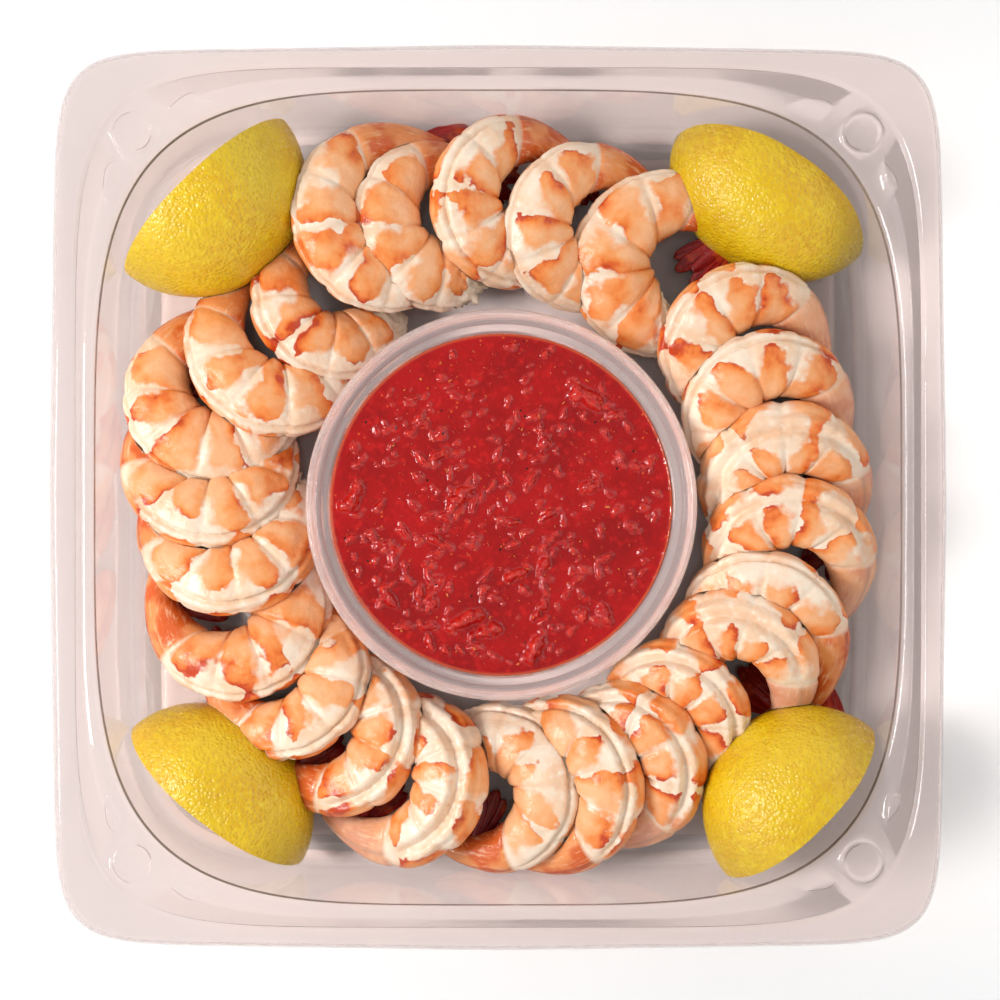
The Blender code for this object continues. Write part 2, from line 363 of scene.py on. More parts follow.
def new_group(name, inputs, outputs):
    """A shader group with named number sockets; gives back its tree, its input and output nodes."""
    tree = bpy.data.node_groups.new(name, "ShaderNodeTree")
    for label, value in inputs:
        socket = tree.interface.new_socket(label, in_out="INPUT", socket_type="NodeSocketFloat")
        socket.default_value = value
    for label in outputs:
        tree.interface.new_socket(label, in_out="OUTPUT", socket_type="NodeSocketFloat")
    return tree, tree.nodes.new("NodeGroupInput").outputs, tree.nodes.new("NodeGroupOutput").inputs


def make_mottle():
    """Soft patches of a given fineness: raw, and sharpened between two levels."""
    given = (("Fineness", 100.0), ("Detail", 2.0), ("Roughness", 0.5), ("Low", 0.35), ("High", 0.65))
    tree, given, made = new_group("mottle", given, ("Patches", "Raw"))
    place = add_node(tree, "ShaderNodeTexCoord").outputs["Object"]
    texture = add_node(tree, "ShaderNodeTexNoise", Vector=place, Scale=given[0])
    plug(tree, texture.inputs["Detail"], given[1])
    plug(tree, texture.inputs["Roughness"], given[2])
    plug(tree, made[0], step(tree, texture.outputs[0], given[3], given[4]))
    plug(tree, made[1], texture.outputs[0])
    return tree


def make_pores():
    """Round spots at random places: their depth, and a number that differs from spot to spot."""
    given = (("Fineness", 800.0), ("Size", 0.3))
    tree, given, made = new_group("pores", given, ("Spot", "Pick", "Pick again"))
    place = add_node(tree, "ShaderNodeTexCoord").outputs["Object"]
    texture = add_node(tree, "ShaderNodeTexVoronoi", Vector=place, Scale=given[0])
    picked = add_node(tree, "ShaderNodeSeparateColor", Color=texture.outputs["Color"])
    spot = step(tree, texture.outputs["Distance"], 0.0, given[1])
    for socket, value in zip(made, (sums(tree, "SUBTRACT", 1.0, spot), *picked.outputs[:2])):
        plug(tree, socket, value)
    return tree


MOTTLE = make_mottle()
PORES = make_pores()


def mottle(tree, fineness, low=0.35, high=0.65, detail=2.0):
    made = add_node(tree, "ShaderNodeGroup", {"node_tree": MOTTLE}, fineness, detail, 0.5, low, high)
    return made.outputs["Patches"]


def raw_mottle(tree, fineness, detail=2.0, rough=0.5):
    """The same patches as an even number about 0."""
    made = add_node(tree, "ShaderNodeGroup", {"node_tree": MOTTLE}, fineness, detail, rough)
    return sums(tree, "SUBTRACT", made.outputs["Raw"], 0.5)


def pores(tree, fineness, size):
    return add_node(tree, "ShaderNodeGroup", {"node_tree": PORES}, fineness, size).outputs


def read(tree, name):
    return add_node(tree, "ShaderNodeAttribute", {"attribute_name": name}).outputs["Fac"]


def bump(tree, height, strength, distance):
    return add_node(tree, "ShaderNodeBump", Strength=strength, Distance=distance, Height=height).outputs[0]


def spread(tree, share, low, high):
    """Turn a share from 0 to 1 into a number between low and high."""
    return add_node(tree, "ShaderNodeMapRange", Value=share, To_Min=low, To_Max=high).outputs[0]


def dress(tree, shader, base, rough, normal):
    """Plug a finish's colour, roughness and relief into its shader."""
    for label, value in (("Base Color", base), ("Roughness", rough), ("Normal", normal)):
        plug(tree, shader.inputs[label], value)


# ---------------------------------------------------------------- finishes


def clear_plastic(name, tint, through, bend, rough, shade_tint):
    """Clear film with a milky cast: it bends light, and lets it through to what lies below."""
    made, tree, shader = new_finish(name)
    shader.inputs["Transmission Weight"].default_value = through
    shader.inputs["IOR"].default_value = bend
    smudges = spread(tree, mottle(tree, 60.0, 0.3, 0.7), rough * 0.6, rough * 1.5)
    dress(tree, shader, tint, smudges, bump(tree, raw_mottle(tree, 35.0, 1.0), 0.10, 0.004))
    in_shade = add_node(tree, "ShaderNodeLightPath").outputs["Is Shadow Ray"]
    shade = add_node(tree, "ShaderNodeBsdfTransparent", Color=shade_tint).outputs[0]
    mixed = add_node(tree, "ShaderNodeMixShader", None, in_shade, shader.outputs[0], shade).outputs[0]
    plug(tree, tree.nodes["Material Output"].inputs["Surface"], mixed)
    return made


def lemon_finish():
    """Yellow peel with oil pores, a greener end, a dark stem scar, and pulp and pith on the cuts."""
    made, tree, shader = new_finish("lemon_peel")
    pits = pores(tree, 820.0, 0.75)["Spot"]
    fine_pits = pores(tree, 1300.0, 0.75)["Spot"]
    peel = coats(
        tree,
        blend(tree, mottle(tree, 60.0, 0.3, 0.7, 3.0), colour(222, 172, 8), colour(232, 192, 14)),
        (mottle(tree, 420.0, 0.4, 0.8), colour(236, 200, 26)),
        (times(tree, pits, 0.10), colour(196, 138, 6)),
        (read(tree, "green"), colour(152, 142, 22)),
        (read(tree, "scar"), colour(58, 34, 18)),
    )
    cut = coats(
        tree,
        blend(tree, mottle(tree, 420.0), colour(232, 196, 104), colour(246, 228, 166)),
        (step(tree, read(tree, "reach"), 0.84, 0.88), colour(248, 238, 208)),
    )
    relief = sums(tree, "MULTIPLY_ADD", fine_pits, -0.35, times(tree, pits, -1.0))
    rough = spread(tree, mottle(tree, 300.0), 0.24, 0.36)
    dress(tree, shader, blend(tree, read(tree, "face"), peel, cut), rough, bump(tree, relief, 0.8, 0.00028))
    shader.inputs["Specular IOR Level"].default_value = 0.6
    return made


def sauce_finish():
    """Deep red sauce with paler pulp, orange flecks and pepper, all wet."""
    made, tree, shader = new_finish("cocktail_sauce")
    speck = read(tree, "speck")
    flecks = pores(tree, 560.0, 0.34)
    is_spot = step(tree, flecks["Spot"], 0.15, 0.4)
    orange = times(tree, is_spot, step(tree, flecks["Pick"], 0.90, 0.92))
    pepper = times(tree, is_spot, step(tree, flecks["Pick again"], 0.975, 0.98))
    pulp = blend(tree, mottle(tree, 520.0, 0.35, 0.7, 3.0), colour(176, 10, 10), colour(214, 46, 28))
    base = coats(
        tree,
        blend(tree, mottle(tree, 70.0, 0.3, 0.7, 4.0), colour(150, 2, 4), colour(180, 8, 10)),
        (mottle(tree, 420.0, 0.5, 0.8, 3.0), colour(198, 22, 18)),
        (times(tree, read(tree, "lump"), 0.85), pulp),
        (step(tree, speck, 0.78, 0.82), colour(206, 64, 32)),
        (step(tree, speck, 0.96, 0.97), colour(224, 122, 56)),
        (times(tree, orange, 0.65), colour(222, 92, 40)),
        (pepper, colour(46, 14, 12)),
        (times(tree, read(tree, "meniscus"), 0.7), colour(214, 92, 44)),
    )
    dress(tree, shader, base, 0.09, bump(tree, raw_mottle(tree, 620.0, 2.0), 0.45, 0.0008))
    shader.inputs["Specular IOR Level"].default_value = 0.55
    return made


def shrimp_strokes(tree):
    """Fine strokes that run round the body, as an even number about 0."""
    along = times(tree, read(tree, "along"), 0.16)
    around = times(tree, read(tree, "around"), 0.75)
    place = add_node(tree, "ShaderNodeCombineXYZ", None, along, around).outputs[0]
    made = add_node(tree, "ShaderNodeTexNoise", Vector=place, Scale=1.0, Detail=3.0, Roughness=0.6)
    return sums(tree, "SUBTRACT", made.outputs[0], 0.5)


def shrimp_finish():
    """Warm white flesh, orange patches that burn at one edge, an orange shell with a painted dark shade line
    along its back, a dark red fan.
    """
    made, tree, shader = new_finish("cooked_shrimp")
    keen = read(tree, "keen")
    shell = read(tree, "shell")
    fan = read(tree, "fan")
    strokes = shrimp_strokes(tree)
    edge = sums(tree, "MULTIPLY_ADD", raw_mottle(tree, 230.0, 2.0, 0.55), 6.0, read(tree, "band"))
    edge = sums(tree, "MULTIPLY_ADD", raw_mottle(tree, 75.0, 1.0), 9.0, edge)
    flesh = coats(
        tree,
        blend(tree, mottle(tree, 110.0), colour(250, 228, 204), colour(245, 204, 168)),
        (mottle(tree, 380.0, 0.5, 0.85), colour(252, 236, 216)),
        (read(tree, "torn"), colour(251, 234, 208)),
    )
    # the patches are deepest in colour along their edges and fade inward
    inward = sums(tree, "MULTIPLY_ADD", edge, 0.12, times(tree, strokes, 0.25))
    inward = sums(tree, "MULTIPLY_ADD", raw_mottle(tree, 170.0, 2.0), 1.1, inward)
    inward = sums(tree, "MULTIPLY_ADD", raw_mottle(tree, 30.0, 1.0), 1.3, inward)
    inward = sums(tree, "ADD", inward, spread(tree, keen, 0.40, 0.0))
    stops = (
        (0.0, colour(198, 66, 20)),
        (0.08, colour(222, 98, 34)),
        (0.25, colour(240, 132, 58)),
        (0.54, colour(246, 160, 94)),
        (1.0, colour(249, 184, 132)),
    )
    burnt = times(tree, step(tree, keen, 0.5, 0.9), mottle(tree, 90.0, 0.52, 0.62))
    burnt = times(tree, burnt, step(tree, edge, 1.1, 0.2))
    warm = blend(tree, burnt, ramp(tree, inward, stops), colour(184, 44, 18))
    # painted shade: a thin dark line along the back edge of the tail shell stands in for the shadow at the
    # shell's outer edge
    ribs_and_shade_line = times(tree, step(tree, read(tree, "rib"), 0.94, 0.99), 0.55)
    shell_colour = coats(
        tree,
        blend(tree, mottle(tree, 90.0, 0.42, 0.58), colour(238, 150, 88), colour(216, 98, 40)),
        (step(tree, strokes, 0.0, 0.25), colour(244, 186, 142)),
        # the painted shade line along the shell's back
        (ribs_and_shade_line, colour(150, 54, 20)),
    )
    fan_colour = coats(
        tree,
        blend(tree, step(tree, strokes, -0.12, 0.12), colour(128, 12, 16), colour(176, 34, 28)),
        (mottle(tree, 160.0, 0.5, 0.7), colour(204, 76, 34)),
    )
    patch = step(tree, edge, 0.0, spread(tree, keen, 3.2, 0.35))
    base = coats(tree, flesh, (patch, warm), (shell, shell_colour), (fan, fan_colour))
    rough = spread(tree, sums(tree, "MAXIMUM", shell, fan), 0.32, 0.22)
    relief = sums(tree, "MULTIPLY_ADD", strokes, 0.5, raw_mottle(tree, 620.0, 2.0, 0.6))
    dress(tree, shader, base, rough, bump(tree, relief, 0.35, 0.0006))
    return made


def plain_finish(name, tint, rough):
    made, _, shader = new_finish(name)
    shader.inputs["Base Color"].default_value = tint
    shader.inputs["Roughness"].default_value = rough
    return made


# ---------------------------------------------------------------- tray and cup

TRAY_POINTS = 360
FLANGE_SQUARENESS = 13.0
FLANGE_BOW = 0.011
LEDGE_TOP = UNDER_LEDGE + TRAY_WALL
BUTTON_PLACE = 0.1118
# Teardrop ribs beside the corner buttons: middle, heading in degrees, length in millimetres.
RIBS = (
    (-0.1195, 0.0985, 68.0, 9.5),
    (-0.0965, 0.1215, 22.0, 9.5),
    (0.0985, 0.1210, -22.0, 9.0),
    (0.1200, 0.0990, -68.0, 9.5),
    (-0.1190, -0.0980, -68.0, 9.0),
    (-0.0965, -0.1210, -22.0, 9.0),
    (0.1210, -0.0955, 68.0, 9.5),
    (0.0990, -0.1190, 22.0, 9.0),
)


def rounded_square(half_x, half_y, squareness, height, bow=0.0):
    """A ring of points round a square with rounded corners, its sides bowed by a share."""
    angle = np.linspace(0, 2 * np.pi, TRAY_POINTS, endpoint=False)
    across = np.sign(np.cos(angle)) * np.abs(np.cos(angle)) ** (2 / squareness)
    along = np.sign(np.sin(angle)) * np.abs(np.sin(angle)) ** (2 / squareness)
    shrink = 1 - bow * (2 * across * along / (across**2 + along**2)) ** 2
    ring = [half_x * across * shrink, half_y * along * shrink, np.full(TRAY_POINTS, height)]
    return np.stack(ring, axis=-1)


def turned(name, profile, steps, centre=(0.0, 0.0)):
    """Turn a closed run of (radius, height) points about a vertical axis."""
    angle = np.linspace(0, 2 * np.pi, steps, endpoint=False)
    x, y = np.cos(angle), np.sin(angle)
    rows = []
    for radius, height in profile:
        rows.append([centre[0] + radius * x, centre[1] + radius * y, np.full(steps, height)])
    return skin(name, np.array(rows).transpose(0, 2, 1))


def button_shape():
    """A pressed button: a low ring, steep inside, round a shallow dish."""
    profile = (
        (0.0, -0.5 * MM),
        (6.8 * MM, -0.5 * MM),
        (6.8 * MM, 0.0),
        (6.3 * MM, 1.2 * MM),
        (5.6 * MM, 1.3 * MM),
        (4.9 * MM, 0.15 * MM),
        (0.0, 0.12 * MM),
    )
    return outward(turned("button", soften(profile, 0.22 * MM), 72))


def rib_shape():
    """A teardrop rib of length 1 mm, so that its size comes from its place."""
    rows = []
    for level, spread_out in ((-0.5, 1.0), (0.0, 1.0), (0.8, 0.90), (1.3, 0.66), (1.45, 0.2)):
        angle = np.linspace(0, 2 * np.pi, 40, endpoint=False)
        along = np.cos(angle) / 2 * spread_out
        wide = 0.29 * np.sin(angle) * (0.62 + 0.38 * np.cos(angle)) * spread_out
        rows.append(np.stack([along, wide, np.full(40, level / 9.5)], axis=-1) * MM)
    return outward(skin("rib", np.array(rows)))


def mesh_tree(name, inputs):
    """A Geometry Nodes tree with named inputs, each given with its kind, and one mesh out."""
    tree = bpy.data.node_groups.new(name, "GeometryNodeTree")
    for label, kind in inputs.items():
        tree.interface.new_socket(label, in_out="INPUT", socket_type=f"NodeSocket{kind}")
    tree.interface.new_socket("Mesh", in_out="OUTPUT", socket_type="NodeSocketGeometry")
    return tree, tree.nodes.new("NodeGroupInput").outputs


def send_out(tree, instances, finish):
    """Make a tree's instances real, give them their finish and end the tree."""
    real = add_node(tree, "GeometryNodeRealizeInstances", None, instances).outputs[0]
    done = add_node(tree, "GeometryNodeSetMaterial", Geometry=real, Material=finish).outputs[0]
    add_node(tree, "NodeGroupOutput", None, done)
    return tree


def repeater():
    """A tree that sets one shape at every point, turned and sized as the point says."""
    inputs = {"Points": "Geometry", "Shape": "Object", "Finish": "Material"}
    tree, given = mesh_tree("repeat_at_points", inputs)
    turn = add_node(tree, "GeometryNodeInputNamedAttribute", Name="turn").outputs[0]
    placed = add_node(
        tree,
        "GeometryNodeInstanceOnPoints",
        Points=given["Points"],
        Instance=add_node(tree, "GeometryNodeObjectInfo", Object=given["Shape"]).outputs["Geometry"],
        Rotation=add_node(tree, "ShaderNodeCombineXYZ", Z=turn).outputs[0],
        Scale=add_node(tree, "GeometryNodeInputNamedAttribute", Name="size").outputs[0],
    )
    return send_out(tree, placed.outputs[0], given["Finish"])


def repeated(tree, shape, places, finish):
    """One mesh of a shape repeated at places, each x, y, z, turn in degrees and size."""
    points = new_mesh("places", [place[:3] for place in places])
    field(points, "turn", [math.radians(place[3]) for place in places])
    field(points, "size", [place[4] for place in places])
    holder = put_in(shape, "shape")
    made = run_tree(tree, points, {"Shape": holder, "Finish": finish})
    bpy.data.objects.remove(holder)
    return made


def make_tray():
    flange = [
        (TRAY_HALF_X - inset, TRAY_HALF_Y - inset, FLANGE_SQUARENESS, UNDER_FLANGE - drop, FLANGE_BOW)
        for inset, drop in ((0.0, 2.6 * MM), (0.6 * MM, 0.6 * MM), (1.6 * MM, 0.0))
    ]
    inside = [
        (0.1316, 0.1336, 6.4, UNDER_FLANGE),
        (0.1303, 0.1324, 6.4, UNDER_LEDGE),
        (0.1258, 0.1272, 4.0, UNDER_LEDGE),
        (0.1248, 0.1260, 4.0, UNDER_LEDGE - 1.0 * MM),
        (0.1176, 0.1176, 5.5, 0.0052),
        (0.1160, 0.1160, 6.0, 0.0015),
        (0.1132, 0.1132, 6.0, 0.0),
        (0.1072, 0.1075, 9.0, 0.0),
        (0.1060, 0.1063, 9.0, PANEL_RISE),
        (0.1040, 0.1043, 9.0, PANEL_RISE),
    ]
    rows = np.array(soften([rounded_square(*ring) for ring in flange + inside], 0.6 * MM))
    mesh = skin("tray", rows, closed=False)
    # the raised panel closes the middle
    last = (len(rows) - 1) * TRAY_POINTS
    work = bmesh.new()
    work.from_mesh(mesh)
    work.verts.ensure_lookup_table()
    work.faces.new([work.verts[last + k] for k in range(TRAY_POINTS)])
    bmesh.ops.recalc_face_normals(work, faces=work.faces)
    work.faces.ensure_lookup_table()
    work.faces[-1].normal_update()
    if work.faces[-1].normal.z < 0:
        bmesh.ops.reverse_faces(work, faces=work.faces)
    work.to_mesh(mesh)
    work.free()
    wall = {"thickness": TRAY_WALL, "offset": 1.0, "use_even_offset": True}
    mesh = worked(mesh, [("SOLIDIFY", wall)])
    finish = clear_plastic("clear_tray", colour(229, 216, 213), 0.90, 1.44, 0.05, colour(254, 251, 249))
    corners = [(x * BUTTON_PLACE, y * BUTTON_PLACE, LEDGE_TOP, 0.0, 1.0) for x in (-1, 1) for y in (-1, 1)]
    ribs_and_shade_line = [(x, y, LEDGE_TOP, heading, length) for x, y, heading, length in RIBS]
    tree = repeater()
    marks = [repeated(tree, button_shape(), corners, finish), repeated(tree, rib_shape(), ribs_and_shade_line, finish)]
    mesh = join_shapes(mesh, marks, "UNION")
    place_piece("platter_tray", outward(mesh), finish, "clear_tray", "tray")


def make_cup():
    base = cup_low.z
    profile = [
        (0.0, CUP_FLOOR),
        (0.0430, CUP_FLOOR),
        (CUP_FOOT, CUP_FLOOR + 1.4 * MM),
        (CUP_BELLY, SAUCE_LEVEL - 0.6 * MM),
        (0.0534, SAUCE_LEVEL + 2.2 * MM),
        (0.0546, SAUCE_LEVEL + 3.0 * MM),
        (0.0556, CUP_TOP - 1.7 * MM),
        (0.0562, CUP_TOP - 0.9 * MM),
        (0.0570, CUP_TOP - 0.9 * MM),
        (0.0576, CUP_TOP - 1.7 * MM),
        (0.0580, CUP_TOP - 0.5 * MM),
        (0.0586, CUP_TOP),
        (0.0594, CUP_TOP),
        (0.0600, CUP_TOP - 0.8 * MM),
        (0.0600, CUP_TOP - 4.0 * MM),
        (0.0593, CUP_TOP - 4.3 * MM),
        (0.0590, CUP_TOP - 2.0 * MM),
        (0.0568, CUP_TOP - 2.6 * MM),
        (0.0562, CUP_TOP - 4.6 * MM),
        (0.0535, SAUCE_LEVEL - 1.0 * MM),
        (0.0454, base + 1.4 * MM),
        (0.0438, base),
        (0.0, base),
    ]
    mesh = turned("sauce_cup", soften(profile, 0.2 * MM), 160, CUP_CENTRE[:2])
    finish = clear_plastic("clear_cup", colour(251, 236, 233), 0.80, 1.42, 0.06, colour(254, 250, 248))
    place_piece("dip_cup", outward(mesh), finish, "clear_cup", "sauce_cup")


# ---------------------------------------------------------------- sauce

SAUCE_STEPS = 300
SMALL_LUMPS = 440
GRAINS = {"Grains per square metre": 130000.0, "Smallest": 0.18 * MM, "Largest": 0.42 * MM, "Seed": 5}
# Chopped pieces that stand proud, from the middle of the cup: right, back, length and width in
# millimetres, heading in degrees, and how many pieces lie together.
CHOPPED = (
    (-26, 23.5, 6, 3.4, 35, 3),
    (-33, 19.6, 5, 2.4, 60, 2),
    (-19, 15.6, 5.5, 3.6, 25, 2),
    (-45.3, 2.3, 8, 4.6, 60, 4),
    (-12.5, 2.3, 7, 5, 50, 5),
    (12.4, 22.2, 5.5, 3, 100, 3),
    (14.7, 47.0, 4.5, 3, 60, 2),
    (26.7, 32.8, 7, 5, -30, 5),
    (28, 5.6, 6, 3.5, 10, 3),
    (2, 7.6, 3.6, 2.6, 100, 2),
    (42.6, 11.5, 4.2, 3.4, 0, 3),
    (36, 12.9, 4, 1.8, 10, 2),
    (4.8, -21.7, 5.6, 4, 20, 4),
    (13, -19, 5.6, 4, 60, 4),
    (2, -5, 5, 3, 0, 4),
    (-19, -11.6, 7, 3.4, -25, 5),
    (-21, -30.9, 4.4, 3.8, 60, 2),
    (-35, -28.2, 6.5, 3.6, -60, 3),
    (-11.2, -35.5, 10, 5, 25, 6),
    (-3.2, -38.5, 5.4, 4, 10, 3),
    (12, -32.2, 8, 3.2, 60, 4),
    (24.6, -33.6, 4.6, 3.2, -60, 2),
    (32, -33.6, 6.2, 3.8, -55, 3),
    (40.5, -23, 4.8, 2.2, 105, 2),
    (10.7, -44.4, 6, 4.6, 60, 3),
    (16.5, -38.2, 4.4, 2.2, 10, 2),
    (-23, -37.4, 4.6, 3, 0, 3),
    (14, -3.5, 5, 3.4, 30, 4),
    (7.4, -8.8, 3.4, 2.4, 0, 2),
    (-12.5, -18.8, 3, 2, 60, 2),
    (-33.7, -16.2, 2.8, 2, -30, 1),
    (-14.5, 46.4, 2.8, 2.2, 60, 1),
    (22, -9, 3, 1.6, 100, 1),
    (-42, -9, 2.6, 1.6, 20, 1),
    (-2, 20, 4.6, 2.0, -10, 2),
    (-6, 32, 2.4, 1.6, 30, 1),
)


def pulp_scatter():
    """A tree that strews small grains over a sheet of sauce: named inputs, a fixed seed."""
    numbers = {"Grains per square metre": "Float", "Smallest": "Float", "Largest": "Float", "Seed": "Int"}
    tree, given = mesh_tree("pulp_scatter", {"Sheet": "Geometry", **numbers, "Finish": "Material"})
    seed = given["Seed"]

    def draw(kind, **limits):
        return add_node(tree, "FunctionNodeRandomValue", {"data_type": kind}, Seed=seed, **limits)

    points = add_node(tree, "GeometryNodeDistributePointsOnFaces", Mesh=given["Sheet"], Seed=seed)
    plug(tree, points.inputs["Density"], given["Grains per square metre"])
    size = draw("FLOAT")
    plug(tree, size.inputs[2], given["Smallest"])
    plug(tree, size.inputs[3], given["Largest"])
    stretch = draw("FLOAT_VECTOR", Min=(0.5, 0.5, 0.4), Max=(2.2, 1.1, 0.7)).outputs[0]
    scale = add_node(tree, "ShaderNodeVectorMath", {"operation": "SCALE"}, stretch)
    plug(tree, scale.inputs["Scale"], size.outputs[1])
    placed = add_node(
        tree,
        "GeometryNodeInstanceOnPoints",
        Points=points.outputs["Points"],
        Instance=add_node(tree, "GeometryNodeMeshIcoSphere", Radius=1.0, Subdivisions=2).outputs[0],
        Rotation=draw("FLOAT_VECTOR", Max=(6.28, 6.28, 6.28)).outputs[0],
        Scale=scale.outputs[0],
    )
    store = {"data_type": "FLOAT", "domain": "INSTANCE"}
    kept = add_node(tree, "GeometryNodeStoreNamedAttribute", store, Geometry=placed.outputs[0], Name="speck")
    plug(tree, kept.inputs["Value"], draw("FLOAT").outputs[1])
    return send_out(tree, kept.outputs[0], given["Finish"])


def add_lump(surface, centre, size, turn, rise, salt):
    """Raise one rounded, uneven lump; surface is a grid's x and y, its height and its lumps."""
    x, y, height, lump = surface
    dx, dy = x - centre[0], y - centre[1]
    a = (dx * math.cos(turn) + dy * math.sin(turn)) / size[0]
    b = (-dx * math.sin(turn) + dy * math.cos(turn)) / size[1]
    angle = np.arctan2(b, a)
    wobble = 1 + 0.14 * np.sin(2 * angle + salt) + 0.12 * np.sin(3 * angle + 2 * salt)
    wobble += 0.07 * np.sin(5 * angle + salt)
    away = np.hypot(a, b) / wobble
    dome = np.clip(1 - away**2, 0, 1) ** 0.75
    skirt = np.exp(-((np.clip(away - 0.8, 0, 5) / 0.35) ** 2)) * 0.22
    height[:] = np.maximum(height, height * 0.4 + rise * np.maximum(dome, skirt))
    lump[:] = np.maximum(lump, np.clip((1.05 - away) / 0.25, 0, 1))


def strew_lumps(surface, radius):
    """The chopped pieces where they lie, and many small ones at random."""
    rng = random.Random(7)
    for right, back, length, wide, heading, count in CHOPPED:
        turn = math.radians(heading)
        for k in range(count):
            share = (k + 0.5) / count - 0.5
            centre = (
                (right + share * length * math.cos(turn) + rng.uniform(-0.5, 0.5)) * MM,
                (back + share * length * math.sin(turn) + rng.uniform(-0.5, 0.5)) * MM,
            )
            half = wide * rng.uniform(0.36, 0.56) * MM
            size = (half * rng.uniform(1.0, 1.5), half * rng.uniform(0.7, 1.0))
            lean = turn + rng.uniform(-0.6, 0.6)
            add_lump(surface, centre, size, lean, half * rng.uniform(0.75, 1.05), rng.uniform(0, 6))
    for _ in range(SMALL_LUMPS):
        centre = (rng.uniform(-0.93, 0.93) * radius, rng.uniform(-0.93, 0.93) * radius)
        if math.hypot(*centre) > 0.93 * radius:
            continue
        half = rng.choice((0.5, 0.8, 1.1, 1.4, 1.8)) * MM
        size = (half * rng.uniform(1.0, 1.8), half * rng.uniform(0.6, 0.9))
        lean = rng.uniform(0, math.pi)
        add_lump(surface, centre, size, lean, half * rng.uniform(0.45, 0.85), rng.uniform(0, 6))


def sauce_relief(x, y, out, radius):
    """How high the sauce stands over a grid, and where its lumps are; it climbs a little at the wall."""
    height, grain, lump = np.zeros((3, *x.shape))
    for cell in np.ndindex(x.shape):
        spot = Vector((x[cell] * 60, y[cell] * 60, 3.0))
        height[cell] = 0.35 * MM * noise.fractal(spot, 1.0, 2.0, 3)
        grain[cell] = noise.noise(spot * 17) + 0.6 * noise.noise(spot * 34)
    strew_lumps((x, y, height, lump), radius)
    height += grain * 0.10 * MM * lump + grain * 0.06 * MM
    height *= np.clip((1 - out) / 0.05, 0, 1)
    height += 0.5 * MM * np.clip((out - 0.965) / 0.035, 0, 1) ** 2
    return height, lump


def round_pairs(ring):
    """Each number of a closed ring with the next one."""
    return zip(ring, ring[1:] + ring[:1])


def make_sauce():
    """A thick sauce: smooth liquid with chopped tomato and grated horseradish standing proud."""
    radius = CUP_BELLY + 0.15 * MM
    foot = CUP_FOOT + 0.1 * MM
    size = SAUCE_STEPS
    line = np.linspace(-1, 1, size)
    u, v = np.meshgrid(line, line, indexing="ij")
    # a square sheet pressed round, so its cells stay even
    x = u * np.sqrt(1 - v**2 / 2)
    y = v * np.sqrt(1 - u**2 / 2)
    out = np.hypot(x, y)
    x, y = x * radius, y * radius
    height, lump = sauce_relief(x, y, out, radius)
    level = SAUCE_LEVEL - 0.1 * MM
    points = np.stack([x + CUP_CENTRE.x, y + CUP_CENTRE.y, level + height], axis=-1).reshape(-1, 3).tolist()
    starts = [k * size + j for k in range(size - 1) for j in range(size - 1)]
    top_faces = [(a, a + size, a + size + 1, a + 1) for a in starts]
    border = [(k, 0) for k in range(size)] + [(size - 1, j) for j in range(1, size)]
    border += [(k, size - 1) for k in range(size - 2, -1, -1)] + [(0, j) for j in range(size - 2, 0, -1)]
    rings = [[k * size + j for k, j in border]]
    for share, reach in ((0.5, (radius + foot) / 2 / radius), (0.0, foot / radius)):
        rings.append(list(range(len(points), len(points) + len(border))))
        for cell in border:
            depth = CUP_FLOOR + (level - CUP_FLOOR) * share
            points.append((CUP_CENTRE.x + x[cell] * reach, CUP_CENTRE.y + y[cell] * reach, depth))
    faces = list(top_faces)
    for upper, lower in zip(rings, rings[1:]):
        faces += [(a, b, d, c) for (a, b), (c, d) in zip(round_pairs(upper), round_pairs(lower))]
    faces += [(a, b, len(points)) for a, b in round_pairs(rings[-1])]
    points.append((CUP_CENTRE.x, CUP_CENTRE.y, CUP_FLOOR))
    mesh = new_mesh("sauce", points, faces)
    work = bmesh.new()
    work.from_mesh(mesh)
    bmesh.ops.recalc_face_normals(work, faces=work.faces)
    work.to_mesh(mesh)
    work.free()
    outward(mesh)
    field(mesh, "lump", lump.reshape(-1))
    field(mesh, "speck", np.zeros(len(points)))
    field(mesh, "meniscus", np.clip((out.reshape(-1) - 0.984) / 0.01, 0, 1))
    finish = sauce_finish()
    sheet = new_mesh("sheet", points[: size * size], [face for face in top_faces if out.flat[face[0]] < 0.95])
    grains = run_tree(pulp_scatter(), sheet, {**GRAINS, "Finish": finish})
    field(grains, "lump", np.full(len(grains.vertices), 0.8))
    place_piece("dip_sauce", joined([mesh, grains]), finish, "cocktail_sauce", "sauce")


# ---------------------------------------------------------------- lemons

CUT_STEPS = 14


def lemon_outline(place):
    """How deep the fruit is at a place along it from -1 to 1, with its nub at each end."""
    body = max(0.0, 1 - abs(place) ** 2.3) ** 0.62
    nub = 0.16 * max(0.0, 1 - abs(place) ** 14)
    return max(body, nub)


def lemon_section(low, high, turns):
    """A wedge's section from the core out over the peel and back: (share of depth, angle, is a cut)."""
    cut = [j / CUT_STEPS for j in range(CUT_STEPS)]
    section = [(share, low, 1.0) for share in cut]
    section += [(1.0, low + (high - low) * j / turns, 0.0) for j in range(turns + 1)]
    return section + [(share, high, 1.0) for share in cut[:0:-1]]


def part_way(value, start, run):
    """0 below start, 1 past start + run, even between."""
    return min(1.0, max(0.0, (value - start) / run))


